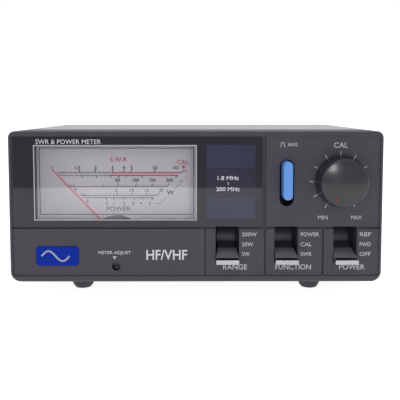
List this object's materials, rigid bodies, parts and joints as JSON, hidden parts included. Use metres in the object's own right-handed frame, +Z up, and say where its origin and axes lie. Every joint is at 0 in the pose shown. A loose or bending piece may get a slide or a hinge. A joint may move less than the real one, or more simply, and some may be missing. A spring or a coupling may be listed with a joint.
{
  "type": "swr meter",
  "caption": "Desk-top standing wave and power meter: a wide low steel box, moulded front with dial window, round knob, push button and lever switches, coaxial sockets behind.",
  "frame": {"origin": "bottom centre of the whole object's box, on the surface it stands on", "axes": "X to the right along the width, Y from the front panel to the sockets, Z up; the front faces -Y"},
  "size_m": [0.157, 0.1244, 0.068],
  "materials": {
    "front_moulding": "fine matte mould texture",
    "clear_acrylic": "polished clear acrylic",
    "badge_enamel": "gloss enamel",
    "case_paint": "dark semi-matt paint on sheet steel",
    "foot_rubber": "moulded rubber",
    "black_screws": "blackened steel",
    "zinc_steel": "zinc plated",
    "knob_plastic": "satin black",
    "blue_plastic": "satin blue",
    "white_plastic": "nylon",
    "black_plastic": "moulded black",
    "brass": "drawn brass",
    "dial_paint": "matt printed dial",
    "soft_iron": "soft iron",
    "copper_coil": "enamelled copper wire",
    "pointer_red": "red painted blade",
    "lamp_white": "lamp lens",
    "tin_plate": "tinned steel",
    "ferrite": "ferrite",
    "circuit_board": "solder mask on glass laminate",
    "component_blue": "component bodies",
    "lever_grey": "moulded grey",
    "lever_chrome": "chrome plated plastic",
    "nickel": "nickel plated brass",
    "socket_ptfe": "white insulator",
    "contact_gold": "plated brass contact"
  },
  "bodies": {
    "housing": {"front_bezel": "front_moulding", "meter_window": "clear_acrylic", "badge_plate": "badge_enamel", "top_cover": "case_paint", "bottom_chassis": "case_paint", "rubber_feet": "foot_rubber", "cover_screws": "black_screws", "bezel_screws": "zinc_steel", "cal_pot_body": "zinc_steel", "cal_pot_nut": "zinc_steel", "avg_switch_body": "black_plastic", "range_switch_body": "black_plastic", "function_switch_body": "black_plastic", "power_switch_body": "black_plastic", "lever_pins": "zinc_steel", "meter_case": "black_plastic", "meter_lens": "clear_acrylic", "meter_ear_screws": "zinc_steel", "meter_studs": "brass", "dial_plate": "dial_paint", "pivot_cover": "black_plastic", "pivot_bridge": "brass", "meter_yoke": "soft_iron", "meter_magnet": "soft_iron", "dial_lamps": "lamp_white", "tx_socket_shell": "nickel", "tx_socket_insulator": "socket_ptfe", "tx_socket_contact": "contact_gold", "antenna_socket_shell": "nickel", "antenna_socket_insulator": "socket_ptfe", "antenna_socket_contact": "contact_gold", "rf_flange_screws": "zinc_steel", "rf_flange_nuts": "zinc_steel", "sensor_box": "tin_plate", "sensor_box_lid": "tin_plate", "coupler_line": "brass", "coupler_toroids": "ferrite", "sensor_board": "circuit_board", "dc_jack": "black_plastic", "control_board": "circuit_board", "board_standoffs": "brass", "board_parts": "component_blue"},
    "cal": {"cal_knob": "knob_plastic", "cal_pot_shaft": "zinc_steel"},
    "avg": {"avg_button": "blue_plastic", "avg_plunger": "white_plastic"},
    "range_lever": {"range_lever_arm": "lever_grey", "range_lever_knob": "lever_grey", "range_lever_tip": "lever_chrome"},
    "function_lever": {"function_lever_arm": "lever_grey", "function_lever_knob": "lever_grey", "function_lever_tip": "lever_chrome"},
    "power_lever": {"power_lever_arm": "lever_grey", "power_lever_knob": "lever_grey", "power_lever_tip": "lever_chrome"},
    "movement": {"moving_coil": "copper_coil", "pointer": "pointer_red", "hairsprings": "brass"},
    "zero_adjuster": {"zero_screw": "black_plastic"},
    "zero_lever": {"zero_arm": "brass"}
  },
  "joints": [
    {"name": "cal_turn", "type": "hinge", "parent": "housing", "child": "cal", "pos_m": [0.06, -0.05475, 0.0473], "axis": [0, 1, 0], "range_deg": [0, 300]},
    {"name": "avg_push", "type": "slide", "parent": "housing", "child": "avg", "axis": [0, 1, 0], "range_m": [0, 0.003], "stiffness_N_per_m": 400, "springref_m": -0.001},
    {"name": "range_select", "type": "hinge", "parent": "housing", "child": "range_lever", "pos_m": [0.01305, -0.03675, 0.0208], "axis": [-1, 0, 0], "range_deg": [0, 34]},
    {"name": "function_select", "type": "hinge", "parent": "housing", "child": "function_lever", "pos_m": [0.0375, -0.03675, 0.0208], "axis": [-1, 0, 0], "range_deg": [0, 34]},
    {"name": "power_select", "type": "hinge", "parent": "housing", "child": "power_lever", "pos_m": [0.0621, -0.03675, 0.0208], "axis": [-1, 0, 0], "range_deg": [0, 34]},
    {"name": "pointer_swing", "type": "hinge", "parent": "housing", "child": "movement", "pos_m": [-0.0333, -0.04435, 0.0215], "axis": [0, 1, 0], "range_deg": [0, 87], "stiffness_Nm_per_rad": 0.00005, "springref_deg": -17.19},
    {"name": "zero_turn", "type": "hinge", "parent": "housing", "child": "zero_adjuster", "pos_m": [-0.0333, -0.05075, 0.0115], "axis": [0, 1, 0], "range_deg": [-60, 60]},
    {"name": "zero_shift", "type": "hinge", "parent": "housing", "child": "zero_lever", "pos_m": [-0.0333, -0.04705, 0.0215], "axis": [0, 1, 0], "range_deg": [-5.4, 5.4]}
  ],
  "couplings": [
    {"joint": "zero_turn", "follows": "zero_shift", "ratio": -11.111}
  ]
}
